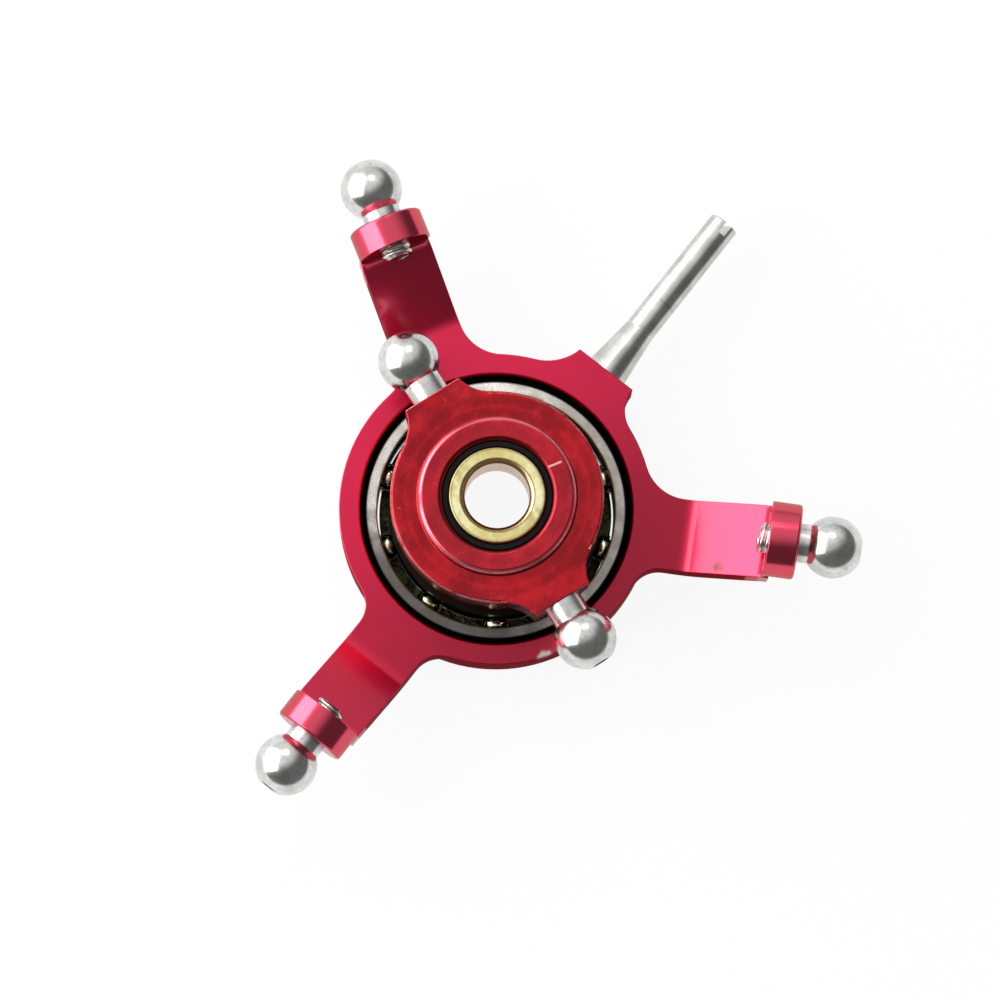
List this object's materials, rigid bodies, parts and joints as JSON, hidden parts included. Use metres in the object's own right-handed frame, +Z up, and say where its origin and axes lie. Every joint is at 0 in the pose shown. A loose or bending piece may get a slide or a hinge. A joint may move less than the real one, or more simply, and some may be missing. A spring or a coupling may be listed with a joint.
{
  "type": "helicopter swashplate",
  "caption": "Model helicopter swashplate: fixed star with ball-ended arms and a guide pin, thin ball bearing, rotating star with ball studs, and a tilting ball bored for the shaft.",
  "frame": {"origin": "centre of the tilting ball, on the mast axis, level with all the link balls", "axes": "+Z up the mast on the rotating star's side, -Y along the anti-rotation pin, +Y along the arm opposite the pin"},
  "size_m": [0.0498, 0.0572, 0.0133],
  "materials": {
    "red_star": "satin anodised",
    "red_rotor": "satin anodised",
    "race_steel": "ground",
    "bearing_ball_steel": "polished",
    "cage_steel": "pressed",
    "black_plastic": "moulded",
    "dark_aluminium": "anodised",
    "spring_steel": "blackened",
    "brass": "turned",
    "stud_steel": "polished",
    "pin_steel": "turned"
  },
  "bodies": {
    "fixed_star": {"outer_star": "red_star", "bearing_outer_race": "race_steel", "arm_stud_far": "stud_steel", "arm_stud_left": "stud_steel", "arm_stud_right": "stud_steel", "anti_rotation_pin": "pin_steel"},
    "rotor": {"rotating_star": "red_rotor", "bearing_inner_race": "race_steel", "snap_ring": "spring_steel", "seat_lock_ring": "dark_aluminium", "ear_stud_right": "stud_steel", "ear_stud_left": "stud_steel"},
    "ball_train": {"bearing_balls": "bearing_ball_steel", "bearing_cage": "cage_steel"},
    "seats": {"seat_upper": "black_plastic", "seat_lower": "black_plastic"},
    "shaft_ball": {"uniball": "brass"}
  },
  "joints": [
    {"name": "rotor_spin", "type": "hinge", "parent": "fixed_star", "child": "rotor", "pos_m": [0, 0, 0], "axis": [0, 0, 1], "continuous": true},
    {"name": "cage_spin", "type": "hinge", "parent": "fixed_star", "child": "ball_train", "pos_m": [0, 0, 0], "axis": [0, 0, 1], "continuous": true},
    {"name": "ball_turn", "type": "hinge", "parent": "rotor", "child": "seats", "pos_m": [0, 0, 0], "axis": [0, 0, 1], "continuous": true},
    {"name": "ball_tilt", "type": "hinge", "parent": "seats", "child": "shaft_ball", "pos_m": [0, 0, 0], "axis": [1, 0, 0], "range_deg": [-12, 12]}
  ],
  "couplings": [
    {"joint": "cage_spin", "follows": "rotor_spin", "ratio": 0.44886}
  ]
}
